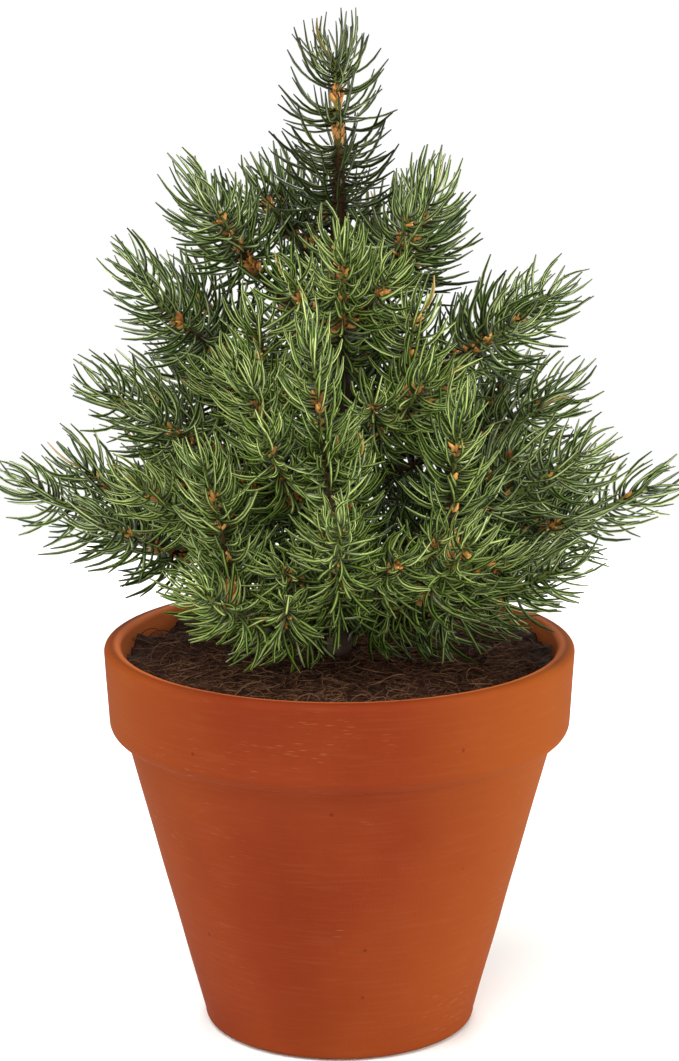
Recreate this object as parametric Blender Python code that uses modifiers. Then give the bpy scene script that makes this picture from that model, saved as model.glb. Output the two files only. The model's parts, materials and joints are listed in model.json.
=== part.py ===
"""Artificial tabletop tree: moulded needle sprays on bendable wires round a wrapped steel rod,
set in a clay pot. Metres, +Z up, origin at the centre of the pot's underside, -Y is the front."""

import math

import bpy
from mathutils import Vector

MM = 0.001

# Clay pot: a straight cone with a thicker band round the rim
POT_HEIGHT = 149 * MM
RIM_RADIUS = 89 * MM
BAND_HEIGHT = 34.5 * MM
BAND_FOOT_RADIUS = 87.4 * MM
BASE_RADIUS = 51.3 * MM
HEEL_RADIUS = 3 * MM
WALL_SLOPE = 0.255
BORE_RADIUS_AT_ZERO = 44.4 * MM
FLOOR_THICKNESS = 8 * MM
DRAIN_RADIUS = 9 * MM
LIP_ROUND = 2.4 * MM
POT_SEGMENTS = 56

# What stands inside the pot
GAP = 0.3 * MM
CEMENT_TOP = 46 * MM
FOAM_TOP = 128 * MM
TOPPING_EDGE = 143 * MM
TOPPING_CROWN = 146 * MM

# Trunk: a steel rod in a sleeve of wound floral tape
ROD_RADIUS = 2.0 * MM
ROD_FOOT = 14 * MM
ROD_TOP = 297.5 * MM
SLEEVE_FOOT = 48 * MM
SLEEVE_TOP = 301.4 * MM
SLEEVE_RADIUS_LOW = 5.5 * MM
SLEEVE_RADIUS_TOP = 4.0 * MM

# Branch wire, and the ball at its root that turns in a dimple of the sleeve
WIRE_RADIUS = 0.9 * MM
BALL_RADIUS = 1.5 * MM
BALL_STANDOFF = 0.8 * MM
BALL_CLEARANCE = 0.35 * MM
SOCKET_CLEARANCE = 0.45 * MM
WIRE_END = 0.60
SOCKET_END = 0.64

# Spray: share of the branch's length, and radius there
SPRAY_PROFILE = (
    (0.28, 2.4 * MM),
    (0.36, 6.5 * MM),
    (0.48, 9.0 * MM),
    (0.66, 9.0 * MM),
    (0.82, 7.4 * MM),
    (0.94, 4.4 * MM),
    (1.00, 1.6 * MM),
)

# Leader, the upright shoot at the top
LEADER_ROOT = 302.4 * MM
LEADER_LENGTH = 83 * MM
LEADER_PROFILE = (
    (0.10, 3.0 * MM),
    (0.22, 9.5 * MM),
    (0.42, 13.5 * MM),
    (0.65, 12.5 * MM),
    (0.86, 8.5 * MM),
    (1.00, 2.6 * MM),
)

# Branch: name, root height mm, azimuth (0 right, 90 back, -90 front), tip distance mm, tip height mm, sag
BRANCHES = (
    ("upper_left", 266, 178, 57, 328, 0.5),
    ("upper_back_left", 276, 125, 44, 330, 0.5),
    ("upper_back_right", 258, 55, 52, 318, 0.5),
    ("upper_right", 272, -14, 38, 334, 0.85),
    ("upper_front", 252, -88, 46, 316, 0.85),
    ("mid_left_high", 236, 174, 82, 296, 0.5),
    ("mid_right_high", 241, -4, 85, 289, 0.5),
    ("mid_back", 226, 92, 80, 276, 0.5),
    ("mid_front_left", 214, -134, 58, 274, 0.85),
    ("mid_left_low", 207, 190, 95, 254, 0.5),
    ("mid_right_low", 209, 9, 91, 248, 0.5),
    ("mid_front_right", 222, -58, 62, 268, 0.8),
    ("mid_front_low", 192, -111, 80, 252, 0.7),
    ("mid_back_left", 200, 133, 86, 258, 0.5),
    ("mid_back_right", 198, 52, 88, 252, 0.5),
    ("low_left_out", 166, 175, 126, 212, 0.5),
    ("low_left_front", 177, -147, 96, 228, 0.5),
    ("low_front_left", 153, -122, 100, 192, 0.5),
    ("low_front", 162, -90, 98, 224, 0.8),
    ("low_front_right", 157, -57, 92, 214, 0.75),
    ("low_right_up", 182, -20, 101, 235, 0.5),
    ("low_right_out", 168, 7, 126, 210, 0.5),
    ("low_right_front", 153, -27, 98, 193, 0.5),
    ("low_back_left", 160, 133, 114, 212, 0.5),
    ("low_back", 155, 90, 98, 206, 0.5),
    ("low_back_right", 158, 47, 112, 210, 0.5),
)


def clear_scene():
    for obj in list(bpy.data.objects):
        bpy.data.objects.remove(obj, do_unlink=True)


def new_collection(name, hidden=False):
    collection = bpy.data.collections.new(name)
    collection.hide_render = hidden
    bpy.context.scene.collection.children.link(collection)
    return collection


def make_material(name, colour, roughness, metallic=0.0):
    material = bpy.data.materials.new(name)
    material.use_nodes = True
    shader = material.node_tree.nodes["Principled BSDF"]
    shader.inputs["Base Color"].default_value = (*colour, 1.0)
    shader.inputs["Roughness"].default_value = roughness
    shader.inputs["Metallic"].default_value = metallic
    material.diffuse_color = (*colour, 1.0)
    return material


def shade_smooth(mesh):
    for polygon in mesh.polygons:
        polygon.use_smooth = True


def turned(name, profile, material):
    """A shape turned about Z. Its closed profile runs down the outer side and back up the bore."""
    mesh = bpy.data.meshes.new(name)
    count = len(profile)
    edges = [(i, (i + 1) % count) for i in range(count)]
    mesh.from_pydata([(r, 0.0, z) for r, z in profile], edges, [])
    obj = bpy.data.objects.new(name, mesh)
    PARTS.objects.link(obj)
    mesh.materials.append(material)
    screw = obj.modifiers.new("Turn", "SCREW")
    screw.axis = "Z"
    screw.steps = POT_SEGMENTS
    screw.render_steps = POT_SEGMENTS
    screw.use_merge_vertices = True
    screw.merge_threshold = 0.00001
    screw.use_smooth_shade = True
    return obj


def tube(name, points, radii, bevel_resolution, collection):
    """A round rod along points, as a mesh with closed ends and one radius per point."""
    curve = bpy.data.curves.new(name, "CURVE")
    curve.dimensions = "3D"
    curve.bevel_depth = 1.0
    curve.bevel_resolution = bevel_resolution
    curve.use_fill_caps = True
    spline = curve.splines.new("POLY")
    spline.points.add(len(points) - 1)
    for target, point, radius in zip(spline.points, points, radii):
        target.co = (*point, 1.0)
        target.radius = radius
    guide = bpy.data.objects.new(name + "_guide", curve)
    bpy.context.scene.collection.objects.link(guide)
    bpy.context.view_layer.update()
    graph = bpy.context.evaluated_depsgraph_get()
    mesh = bpy.data.meshes.new_from_object(guide.evaluated_get(graph))
    bpy.data.objects.remove(guide, do_unlink=True)
    mesh.name = name
    obj = bpy.data.objects.new(name, mesh)
    collection.objects.link(obj)
    weld = obj.modifiers.new("Weld caps", "WELD")
    weld.merge_threshold = 0.000001
    shade_smooth(mesh)
    return obj


def cut(target, cutter, name):
    boolean = target.modifiers.new(name, "BOOLEAN")
    boolean.operation = "DIFFERENCE"
    boolean.solver = "EXACT"
    boolean.object = cutter


def as_cutter(obj):
    obj.hide_render = True
    obj.display_type = "WIRE"


def sleeve_radius(height):
    """Outer radius of the tape sleeve at a height, which narrows upwards."""
    share = (height - SLEEVE_FOOT) / (SLEEVE_TOP - SLEEVE_FOOT)
    return SLEEVE_RADIUS_LOW + (SLEEVE_RADIUS_TOP - SLEEVE_RADIUS_LOW) * share


def bore_radius(height):
    """Inner radius of the pot at a height."""
    return BORE_RADIUS_AT_ZERO + WALL_SLOPE * height


def build_pot():
    band_foot = POT_HEIGHT - BAND_HEIGHT
    body_top = BASE_RADIUS + WALL_SLOPE * band_foot
    lip_bore = bore_radius(POT_HEIGHT)
    profile = (
        (lip_bore + LIP_ROUND, POT_HEIGHT),
        (RIM_RADIUS - LIP_ROUND, POT_HEIGHT),
        (RIM_RADIUS - 0.6 * MM, POT_HEIGHT - 0.7 * MM),
        (RIM_RADIUS, POT_HEIGHT - LIP_ROUND),
        (RIM_RADIUS, POT_HEIGHT - 20 * MM),
        (BAND_FOOT_RADIUS, band_foot + 2.6 * MM),
        (BAND_FOOT_RADIUS - 0.9 * MM, band_foot + 0.7 * MM),
        (BAND_FOOT_RADIUS - 2.6 * MM, band_foot),
        (body_top + 1.0 * MM, band_foot - 0.2 * MM),
        (body_top - 0.3 * MM, band_foot - 1.2 * MM),
        (BASE_RADIUS + WALL_SLOPE * HEEL_RADIUS, HEEL_RADIUS),
        (BASE_RADIUS - 0.5 * MM, 0.8 * MM),
        (BASE_RADIUS - HEEL_RADIUS, 0.0),
        (DRAIN_RADIUS, 0.0),
        (DRAIN_RADIUS, FLOOR_THICKNESS),
        (bore_radius(FLOOR_THICKNESS), FLOOR_THICKNESS),
        (lip_bore - 0.5 * MM, POT_HEIGHT - LIP_ROUND),
        (lip_bore + 0.6 * MM, POT_HEIGHT - 0.6 * MM),
    )
    clay = make_material("terracotta", (0.48, 0.13, 0.045), 0.8)
    return turned("clay_pot", profile, clay)


def build_filling():
    low = FLOOR_THICKNESS + GAP
    rod_hole = ROD_RADIUS + GAP
    sleeve_hole = SLEEVE_RADIUS_LOW + GAP
    cement = (
        (bore_radius(CEMENT_TOP) - GAP, CEMENT_TOP),
        (bore_radius(low) - GAP, low),
        (0.0, low),
        (0.0, ROD_FOOT - GAP),
        (rod_hole, ROD_FOOT - GAP),
        (rod_hole, CEMENT_TOP),
    )
    turned("cement_plug", open_on_axis(cement), make_material("cement", (0.42, 0.41, 0.39), 0.9))
    foam = (
        (bore_radius(FOAM_TOP) - GAP, FOAM_TOP),
        (bore_radius(CEMENT_TOP + GAP) - GAP, CEMENT_TOP + GAP),
        (sleeve_hole, CEMENT_TOP + GAP),
        (sleeve_hole, FOAM_TOP),
    )
    turned("foam_block", foam, make_material("foam", (0.75, 0.74, 0.7), 0.95))
    edge = bore_radius(TOPPING_EDGE) - GAP
    topping = (
        (30 * MM, TOPPING_CROWN - 0.6 * MM),
        (62 * MM, TOPPING_EDGE + 1.2 * MM),
        (edge - 0.5 * MM, TOPPING_EDGE),
        (bore_radius(FOAM_TOP + GAP) - GAP, FOAM_TOP + GAP),
        (sleeve_hole, FOAM_TOP + GAP),
        (sleeve_hole, TOPPING_CROWN),
    )
    turned("coir_topping", topping, make_material("coir", (0.035, 0.016, 0.009), 0.95))


def open_on_axis(profile):
    """Moves the profile's axis points a hair off the axis, so that they merge after the turn."""
    return [(max(r, 0.000001), z) for r, z in profile]


def build_trunk():
    steel = make_material("rod_steel", (0.55, 0.55, 0.56), 0.35, 1.0)
    rod_points = [Vector((0, 0, z)) for z in (ROD_FOOT, ROD_FOOT + MM, ROD_TOP - MM, ROD_TOP)]
    rod_radii = (ROD_RADIUS - 0.5 * MM, ROD_RADIUS, ROD_RADIUS, ROD_RADIUS - 0.5 * MM)
    rod = tube("trunk_rod", rod_points, rod_radii, 4, PARTS)
    rod.data.materials.append(steel)
    tape = make_material("bark_tape", (0.05, 0.028, 0.018), 0.85)
    bore = ROD_RADIUS + GAP
    heights = (SLEEVE_FOOT, 150 * MM, 220 * MM, SLEEVE_TOP)
    sleeve = tube(
        "tape_sleeve",
        [Vector((0, 0, z)) for z in heights],
        [sleeve_radius(z) for z in heights],
        6,
        PARTS,
    )
    sleeve.data.materials.append(tape)
    bore_points = [Vector((0, 0, SLEEVE_FOOT - MM)), Vector((0, 0, ROD_TOP + GAP))]
    bore_cutter = tube("sleeve_bore", bore_points, (bore, bore), 4, CUTTERS)
    as_cutter(bore_cutter)
    cut(sleeve, bore_cutter, "Rod bore")
    return sleeve


def branch_root(root_mm, azimuth):
    """Outward direction and root position of a branch, at the ball's centre."""
    outward = Vector((math.cos(math.radians(azimuth)), math.sin(math.radians(azimuth)), 0.0))
    height = root_mm * MM
    return outward, outward * (sleeve_radius(height) + BALL_STANDOFF) + Vector((0, 0, height))


def branch_line(root_mm, azimuth, reach_mm, tip_mm, sag):
    """The branch's centre line as a function of the share of its length, from its root."""
    outward, root = branch_root(root_mm, azimuth)
    tip = outward * reach_mm * MM + Vector((0, 0, tip_mm * MM))
    run = reach_mm * MM - (outward @ root)
    rise = tip.z - root.z
    middle = (root + tip) / 2 + (outward * run - Vector((0, 0, rise))) * 0.25 * sag

    def at(share):
        start = root * (1 - share) ** 2
        return start + middle * (2 * share * (1 - share)) + tip * share**2 - root

    return root, at


def ball_and_wire(at, shares):
    """Points and radii of a wire that starts with a ball centred on its pivot."""
    first = at(0.02).normalized()
    ball = ((-0.97, 0.25), (-0.7, 0.72), (0.0, 1.0), (0.68, 0.76))
    points = [first * BALL_RADIUS * along for along, _ in ball]
    radii = [BALL_RADIUS * size for _, size in ball]
    points.append(first * BALL_RADIUS * 1.25)
    radii.append(WIRE_RADIUS)
    points += [at(share) for share in shares]
    radii += [WIRE_RADIUS] * len(shares)
    return points, radii


def build_shoot(name, root, at, profile, wire_end, socket_end, materials):
    """One wire and the moulded needle spray pushed over it. Both have their origin on the pivot."""
    start = profile[0][0]
    steps = 5
    shares = [wire_end * (i + 1) / steps for i in range(steps)]
    points, radii = ball_and_wire(at, shares)
    wire = tube(name + "_wire", points, radii, 1, PARTS)
    wire.data.materials.append(materials[0])
    spray = tube(
        name + "_spray",
        [at(share) for share, _ in profile],
        [radius for _, radius in profile],
        2,
        PARTS,
    )
    spray.data.materials.append(materials[1])
    hole = WIRE_RADIUS + SOCKET_CLEARANCE
    before = start - 0.03
    inner = [share for share in shares if share > before + 0.02]
    path = [at(before)] + [at(share) for share in inner] + [at(socket_end)]
    socket = tube(name + "_socket", path, [hole] * len(path), 1, CUTTERS)
    as_cutter(socket)
    cut(spray, socket, "Wire socket")
    for obj in (wire, spray, socket):
        obj.location = root


def dimple(name, centre, target):
    """A round seat in the sleeve for a branch's ball."""
    bpy.ops.mesh.primitive_ico_sphere_add(
        subdivisions=2, radius=BALL_RADIUS + BALL_CLEARANCE, location=centre
    )
    cutter = bpy.context.object
    cutter.name = name
    for collection in list(cutter.users_collection):
        collection.objects.unlink(cutter)
    CUTTERS.objects.link(cutter)
    as_cutter(cutter)
    cut(target, cutter, name)


def build_branches(sleeve):
    wire = make_material("branch_wire", (0.09, 0.06, 0.035), 0.6, 1.0)
    dark = make_material("needles_dark", (0.03, 0.10, 0.03), 0.55)
    mid = make_material("needles_mid", (0.07, 0.19, 0.05), 0.55)
    light = make_material("needles_light", (0.15, 0.30, 0.08), 0.55)
    for name, root_mm, azimuth, reach_mm, tip_mm, sag in BRANCHES:
        root, at = branch_line(root_mm, azimuth, reach_mm, tip_mm, sag)
        facing_front = -math.sin(math.radians(azimuth))
        needles = light if facing_front > 0.5 else mid if facing_front > -0.2 else dark
        build_shoot(name, root, at, SPRAY_PROFILE, WIRE_END, SOCKET_END, (wire, needles))
        dimple(name + "_seat", root, sleeve)
    leader = Vector((0, 0, LEADER_ROOT))

    def upright(share):
        return Vector((-0.03 * share**2, 0.0, share)) * LEADER_LENGTH

    build_shoot("leader", leader, upright, LEADER_PROFILE, WIRE_END, SOCKET_END, (wire, mid))
    dimple("leader_seat", leader, sleeve)


clear_scene()
PARTS = new_collection("artificial_tabletop_tree")
CUTTERS = new_collection("cutters", hidden=True)
build_pot()
build_filling()
build_branches(build_trunk())
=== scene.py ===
"""Artificial tabletop tree: moulded needle sprays on bendable stems, a wrapped trunk and a clay pot."""

import json
import logging
import math
import random
from dataclasses import dataclass, field
from enum import Enum

import bmesh
import bpy
from bpy.types import ID, Material, Node, NodeSocket, NodeTree, Object
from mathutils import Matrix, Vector, noise


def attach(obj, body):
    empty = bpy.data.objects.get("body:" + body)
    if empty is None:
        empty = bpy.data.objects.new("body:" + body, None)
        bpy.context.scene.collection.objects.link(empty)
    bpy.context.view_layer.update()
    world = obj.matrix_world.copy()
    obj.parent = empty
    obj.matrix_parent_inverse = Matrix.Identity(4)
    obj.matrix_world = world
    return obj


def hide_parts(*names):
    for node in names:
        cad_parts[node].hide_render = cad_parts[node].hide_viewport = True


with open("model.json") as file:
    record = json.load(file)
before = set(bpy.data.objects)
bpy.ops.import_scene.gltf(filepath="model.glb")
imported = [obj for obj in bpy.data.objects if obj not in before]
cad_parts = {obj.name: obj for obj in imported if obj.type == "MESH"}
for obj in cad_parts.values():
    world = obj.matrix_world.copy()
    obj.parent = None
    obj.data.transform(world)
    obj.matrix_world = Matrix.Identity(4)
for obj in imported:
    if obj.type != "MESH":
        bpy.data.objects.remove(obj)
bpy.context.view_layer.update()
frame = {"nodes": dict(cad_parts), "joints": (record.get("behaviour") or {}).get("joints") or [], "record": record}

LOG = logging.getLogger("tabletop_tree")
MM = 0.001
GOLDEN_TURN = math.radians(137.508)


# ---------------------------------------------------------------- small tools


def linear(code: str) -> tuple[float, float, float, float]:
    """Turns an sRGB hex colour into linear red, green, blue and alpha.

    Args:
        code: Six hex digits, with or without a leading hash.

    Returns:
        The linear colour with alpha 1.
    """
    digits = code.lstrip("#")
    parts = [int(digits[i : i + 2], 16) / 255 for i in (0, 2, 4)]
    red, green, blue = [c / 12.92 if c <= 0.04045 else ((c + 0.055) / 1.055) ** 2.4 for c in parts]
    return (red, green, blue, 1.0)


def add(tree: NodeTree, kind: str, inputs: dict | None = None, **settings) -> Node:
    """Adds a node to a tree, with its settings, its input values and its links.

    Args:
        tree: The shader or geometry tree.
        kind: The node's type name.
        inputs: Socket name or number to a value, or to the output socket that feeds it.
        **settings: Properties of the node itself.

    Returns:
        The new node.
    """
    node = tree.nodes.new(kind)
    for name, value in settings.items():
        setattr(node, name, value)
    for key, value in (inputs or {}).items():
        socket = node.inputs[key]
        if isinstance(value, NodeSocket):
            tree.links.new(value, socket)
        else:
            socket.default_value = value
    return node


def new_object(name: str, data: ID) -> Object:
    """Links a new object for a mesh or curve to the scene and returns it."""
    obj = bpy.data.objects.new(name, data)
    bpy.context.scene.collection.objects.link(obj)
    return obj


def settle(source: Object, name: str) -> Object:
    """Turns an object with its modifiers into a plain mesh object, and removes the source.

    Args:
        source: The object whose modifiers make the shape.
        name: The finished piece's name.

    Returns:
        The plain mesh object.
    """
    bpy.context.view_layer.update()
    graph = bpy.context.evaluated_depsgraph_get()
    mesh = bpy.data.meshes.new_from_object(
        source.evaluated_get(graph), preserve_all_data_layers=True, depsgraph=graph
    )
    mesh.name = name
    bpy.data.objects.remove(source, do_unlink=True)
    shade(mesh, smooth=True)
    return new_object(name, mesh)


def shade(mesh: bpy.types.Mesh, smooth: bool) -> None:
    """Shades every face of a mesh smooth or flat."""
    for polygon in mesh.polygons:
        polygon.use_smooth = smooth


def lofted(name: str, rings: list[list[Vector]], finish: Material, closed: bool) -> Object:
    """Makes a smooth mesh object from rings of points, each joined to the next.

    Args:
        name: The object's name.
        rings: The rings, all with the same number of points.
        finish: The material.
        closed: Whether the last ring joins the first. If not, both end rings are capped.

    Returns:
        The object.
    """
    shape = bmesh.new()
    rows = [[shape.verts.new(point) for point in ring] for ring in rings]
    following = rows[1:] + rows[:1] if closed else rows[1:]
    for first, second in zip(rows, following):
        for corners in zip(first, first[1:] + first[:1], second[1:] + second[:1], second):
            shape.faces.new(corners)
    if not closed:
        shape.faces.new(rows[0][::-1])
        shape.faces.new(rows[-1])
    bmesh.ops.recalc_face_normals(shape, faces=shape.faces)
    mesh = bpy.data.meshes.new(name)
    shape.to_mesh(mesh)
    shape.free()
    mesh.materials.append(finish)
    shade(mesh, smooth=True)
    return new_object(name, mesh)


def grow(source: Object, tree: NodeTree, values: dict) -> None:
    """Puts a geometry tree on an object and sets its named inputs.

    Args:
        source: The object that the tree works on.
        tree: The geometry tree.
        values: The tree's input name to its value.
    """
    modifier = source.modifiers.new(tree.name, "NODES")
    modifier.node_group = tree
    for item in tree.interface.items_tree:
        if item.item_type == "SOCKET" and item.in_out == "INPUT" and item.name in values:
            modifier[item.identifier] = values[item.name]


# ---------------------------------------------------------------- finishes


@dataclass(frozen=True)
class Finish:
    """What every finish shares: its name and the shader's uniform numbers."""

    name: str
    roughness: float
    metallic: float = 0.0
    shine: float = 0.5

    def begin(self) -> tuple[Material, NodeTree, Node]:
        """Starts the material.

        Returns:
            The material, its node tree and its Principled shader.
        """
        material = bpy.data.materials.new(self.name)
        material.use_nodes = True
        tree = material.node_tree
        shader = tree.nodes["Principled BSDF"]
        shader.inputs["Roughness"].default_value = self.roughness
        shader.inputs["Metallic"].default_value = self.metallic
        if not self.metallic:
            shader.inputs["Specular IOR Level"].default_value = self.shine
        return material, tree, shader

    @staticmethod
    def coated(tree: NodeTree, colour, coats) -> NodeSocket:
        """Lays coats of colour over one another.

        Args:
            tree: The material's tree.
            colour: The colour underneath, as a socket or four numbers.
            coats: For each coat: the pattern that places it, the pattern's value where the coat starts and
                where it is full, how much it covers there, and its hex colour.

        Returns:
            The colour with every coat over it.
        """
        for pattern, start, full, most, paint in coats:
            levels = {"Value": pattern, "From Min": start, "From Max": full, "To Max": most}
            amount = add(tree, "ShaderNodeMapRange", levels).outputs["Result"]
            over = {"Factor": amount, 6: colour, 7: linear(paint)}
            colour = add(tree, "ShaderNodeMix", over, data_type="RGBA").outputs[2]
        return colour

    @staticmethod
    def mottled(tree: NodeTree, vector, scale: float, detail: float, first: str, second: str) -> tuple:
        """Returns a noise pattern, and the colour that it makes of two hex colours."""
        grains = {"Vector": vector, "Scale": scale, "Detail": detail}
        pattern = add(tree, "ShaderNodeTexNoise", grains).outputs["Fac"]
        blend = {"Factor": pattern, 6: linear(first), 7: linear(second)}
        return pattern, add(tree, "ShaderNodeMix", blend, data_type="RGBA").outputs[2]

    @staticmethod
    def joined(tree: NodeTree, shader: Node, colour, *relief: tuple) -> None:
        """Joins a colour to the shader, and a relief whose layers each give height, strength and depth."""
        tree.links.new(colour, shader.inputs["Base Color"])
        below = {}
        for height, strength, depth in relief:
            layer = {"Height": height, "Strength": strength, "Distance": depth, **below}
            below = {"Normal": add(tree, "ShaderNodeBump", layer).outputs["Normal"]}
        if below:
            tree.links.new(below["Normal"], shader.inputs["Normal"])


@dataclass(frozen=True)
class FiredTerracotta(Finish):
    """Terracotta, pressed and fired without glaze: matt red-orange, faintly clouded and flecked."""

    name: str = "terracotta_fired_unglazed"
    roughness: float = 0.78
    shine: float = 0.06
    body: str = "742D12"
    deep: str = "6C260E"
    # warm orange: the clay's own clouding, and the painted light on both flanks
    warm_clay_and_flank_light: str = "803E12"
    # the bore's colour is brighter than the outside's: painted light for the shaded inside of the pot
    bore: str = "EE8248"
    fleck: str = "B9805A"
    pit: str = "4A1C0C"
    bore_radius: float = 0.0444
    bore_slope: float = 0.255

    def make(self) -> Material:
        """Returns the material: clouded colour, rubbed turning lines, pale flecks and dark pits."""
        material, tree, shader = self.begin()
        place = add(tree, "ShaderNodeTexCoord").outputs["Object"]
        apart = add(tree, "ShaderNodeSeparateXYZ", {0: place}).outputs
        # the turning draws a pattern out 14 times sideways
        turned = add(tree, "ShaderNodeMapping", {"Vector": place, "Scale": (1.0, 1.0, 14.0)})
        drawn = turned.outputs["Vector"]
        noises = (
            (place, 17.0, 3.0), (place, 9.0, 1.0), (drawn, 60.0, 4.0), (place, 30.0, 2.0), (place, 1400.0, 2.0)
        )
        grained = [
            add(tree, "ShaderNodeTexNoise", {"Vector": vector, "Scale": scale, "Detail": detail})
            for vector, scale, detail in noises
        ]
        cloud, drift, streak, patch, grain = [node.outputs["Fac"] for node in grained]
        spots, pits = [
            add(tree, "ShaderNodeTexVoronoi", {"Vector": vector, "Scale": scale}).outputs["Distance"]
            for vector, scale in ((drawn, 95.0), (place, 60.0))
        ]
        near = {"Value": spots, "From Min": 0.2, "From Max": 0.08}
        patchy = {"Value": patch, "From Min": 0.58, "From Max": 0.68, "To Max": 0.26}
        both = {i: add(tree, "ShaderNodeMapRange", v).outputs["Result"] for i, v in enumerate((near, patchy))}
        flecks = add(tree, "ShaderNodeMath", both, operation="MULTIPLY").outputs[0]
        flat = add(tree, "ShaderNodeCombineXYZ", {0: apart[0], 1: apart[1]})
        radius = add(tree, "ShaderNodeVectorMath", {0: flat.outputs[0]}, operation="LENGTH").outputs["Value"]
        cone = {0: apart[2], 1: -self.bore_slope, 2: radius}
        bore = add(tree, "ShaderNodeMath", cone, operation="MULTIPLY_ADD").outputs[0]
        coats = (
            # the clay clouds from red to orange over 50 mm or so, where the fire reached it unevenly
            (cloud, 0.38, 0.66, 1.0, self.body),
            (drift, 0.5, 0.75, 0.4, self.warm_clay_and_flank_light),
            # painted light: both flanks, the right one fully, are painted more orange than the front, for the side
            # light that falls on them
            (apart[0], 0.02, 0.075, 1.0, self.warm_clay_and_flank_light),
            (apart[0], -0.035, -0.08, 0.6, self.warm_clay_and_flank_light),
            # fine turning lines run round the pot
            (streak, 0.5, 0.8, 0.035, self.fleck),
            # lime flecks 1 to 2 mm long, in patches, flattened by the turning
            (flecks, 0.0, 1.0, 1.0, self.fleck),
            # inside, above the topping, the bore is painted a brighter orange than the outside, as painted light
            # against the shade that falls inside the pot
            (bore, self.bore_radius + 0.0035, self.bore_radius, 1.0, self.bore),
            # a few dark pits, under a millimetre, where grit has dropped out
            (pits, 0.06, 0.03, 0.55, self.pit),
        )
        colour = self.coated(tree, linear(self.deep), coats)
        # shallow turning lines, and over them a grain of 0.7 mm that gives the clay its chalkiness
        self.joined(tree, shader, colour, (streak, 0.03, 0.0005), (grain, 0.3, 0.0002))
        return material


@dataclass(frozen=True)
class MouldedNeedles(Finish):
    """Polyethylene needles, injection moulded: satin, each shot a little different in green."""

    name: str = "polyethylene_needles_moulded"
    roughness: float = 0.4
    shine: float = 0.35
    # the first two colours are the painted shade on a needle's dark edges; the next two its green and painted
    # highlight on the pale edges
    shade: str = "0A0F03"
    shaded_edge: str = "2E420D"
    body: str = "55781D"
    light: str = "DFEEA4"
    # near-black root colour: stem paint and painted shade inside the sprays
    root_paint_and_shade: str = "16160A"
    tan: str = "9A7436"
    # how far the tips darken with painted shade
    tip_shade: float = 0.5

    def make(self) -> Material:
        """Returns the material: green by needle, with painted highlight and painted shade on alternate edges,
        roots darkened by stem paint and painted shade, and tips darkened with painted shade.
        """
        material, tree, shader = self.begin()
        tone, along, ridge = [
            add(tree, "ShaderNodeAttribute", attribute_name=stored).outputs["Fac"]
            for stored in ("tone", "along", "ridge")
        ]
        # each needle's colours for its painted shade and its painted highlight, set by its tone
        blends = [
            add(tree, "ShaderNodeMix", {"Factor": tone, 6: linear(low), 7: linear(high)}, data_type="RGBA")
            for low, high in ((self.shade, self.shaded_edge), (self.body, self.light))
        ]
        painted_shade_side, painted_highlight_side = [node.outputs[2] for node in blends]
        # two of each needle's four edges carry a painted highlight and two a painted shade, for the lit and shaded
        # sides of a needle
        levels = {"Value": ridge, "From Min": 0.34, "From Max": 0.93}
        edges = {"Factor": add(tree, "ShaderNodeMapRange", levels).outputs["Result"], 6: painted_shade_side, 7: painted_highlight_side}
        colour = add(tree, "ShaderNodeMix", edges, data_type="RGBA").outputs[2]
        coats = (
            # the root darkens to near-black olive: partly the stem's paint run on to it, partly painted shade deep
            # inside each spray
            (along, 0.54, 0.04, 0.95, self.root_paint_and_shade),
            # painted shade darkens each needle over its last third
            (along, 0.62, 1.0, self.tip_shade, self.shade),
            # a few needles missed the green and show tan
            (tone, 0.955, 0.965, 0.75, self.tan),
        )
        self.joined(tree, shader, self.coated(tree, colour, coats))
        return material


@dataclass(frozen=True)
class MouldedStem(Finish):
    """Polyethylene stem of a spray, moulded green at the tip and painted brown towards the trunk."""

    name: str = "polyethylene_stem_painted"
    roughness: float = 0.7
    shine: float = 0.15
    green: str = "5E6A30"
    brown: str = "472A10"
    dark: str = "180E06"

    def make(self) -> Material:
        """Returns the material: brown to olive along the stem, with a bark grain."""
        material, tree, shader = self.begin()
        place = add(tree, "ShaderNodeTexCoord").outputs["Object"]
        share = add(tree, "ShaderNodeAttribute", attribute_name="share").outputs["Fac"]
        grain, bark = self.mottled(tree, place, 700.0, 3.0, self.dark, self.brown)
        colour = self.coated(tree, bark, ((share, 0.45, 0.75, 1.0, self.green),))
        self.joined(tree, shader, colour, (grain, 0.5, 0.0006))
        return material


@dataclass(frozen=True)
class PaintedScales(Finish):
    """Bud scales, moulded with the stem and touched with orange-brown paint."""

    name: str = "bud_scales_painted"
    roughness: float = 0.55
    rust: str = "804A20"
    amber: str = "EAA955"

    def make(self) -> Material:
        """Returns the material: each scale somewhere between rust and amber."""
        material, tree, shader = self.begin()
        tone = add(tree, "ShaderNodeAttribute", attribute_name="tone").outputs["Fac"]
        self.joined(tree, shader, self.coated(tree, linear(self.rust), ((tone, 0.0, 1.0, 1.0, self.amber),)))
        return material


@dataclass(frozen=True)
class CrepeTape(Finish):
    """Crepe paper floral tape, waxed and wound: dark brown, wrinkled across its width."""

    name: str = "crepe_tape_waxed_wound"
    roughness: float = 0.8
    dark: str = "1F130D"
    worn: str = "4A3122"

    def make(self) -> Material:
        """Returns the material: crepe wrinkles about 0.8 mm apart, drawn along the trunk."""
        material, tree, shader = self.begin()
        place = add(tree, "ShaderNodeTexCoord").outputs["Object"]
        tall = add(tree, "ShaderNodeMapping", {"Vector": place, "Scale": (1.0, 1.0, 0.35)}).outputs["Vector"]
        wrinkle, colour = self.mottled(tree, tall, 900.0, 4.0, self.dark, self.worn)
        self.joined(tree, shader, colour, (wrinkle, 0.8, 0.0008))
        return material


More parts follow.
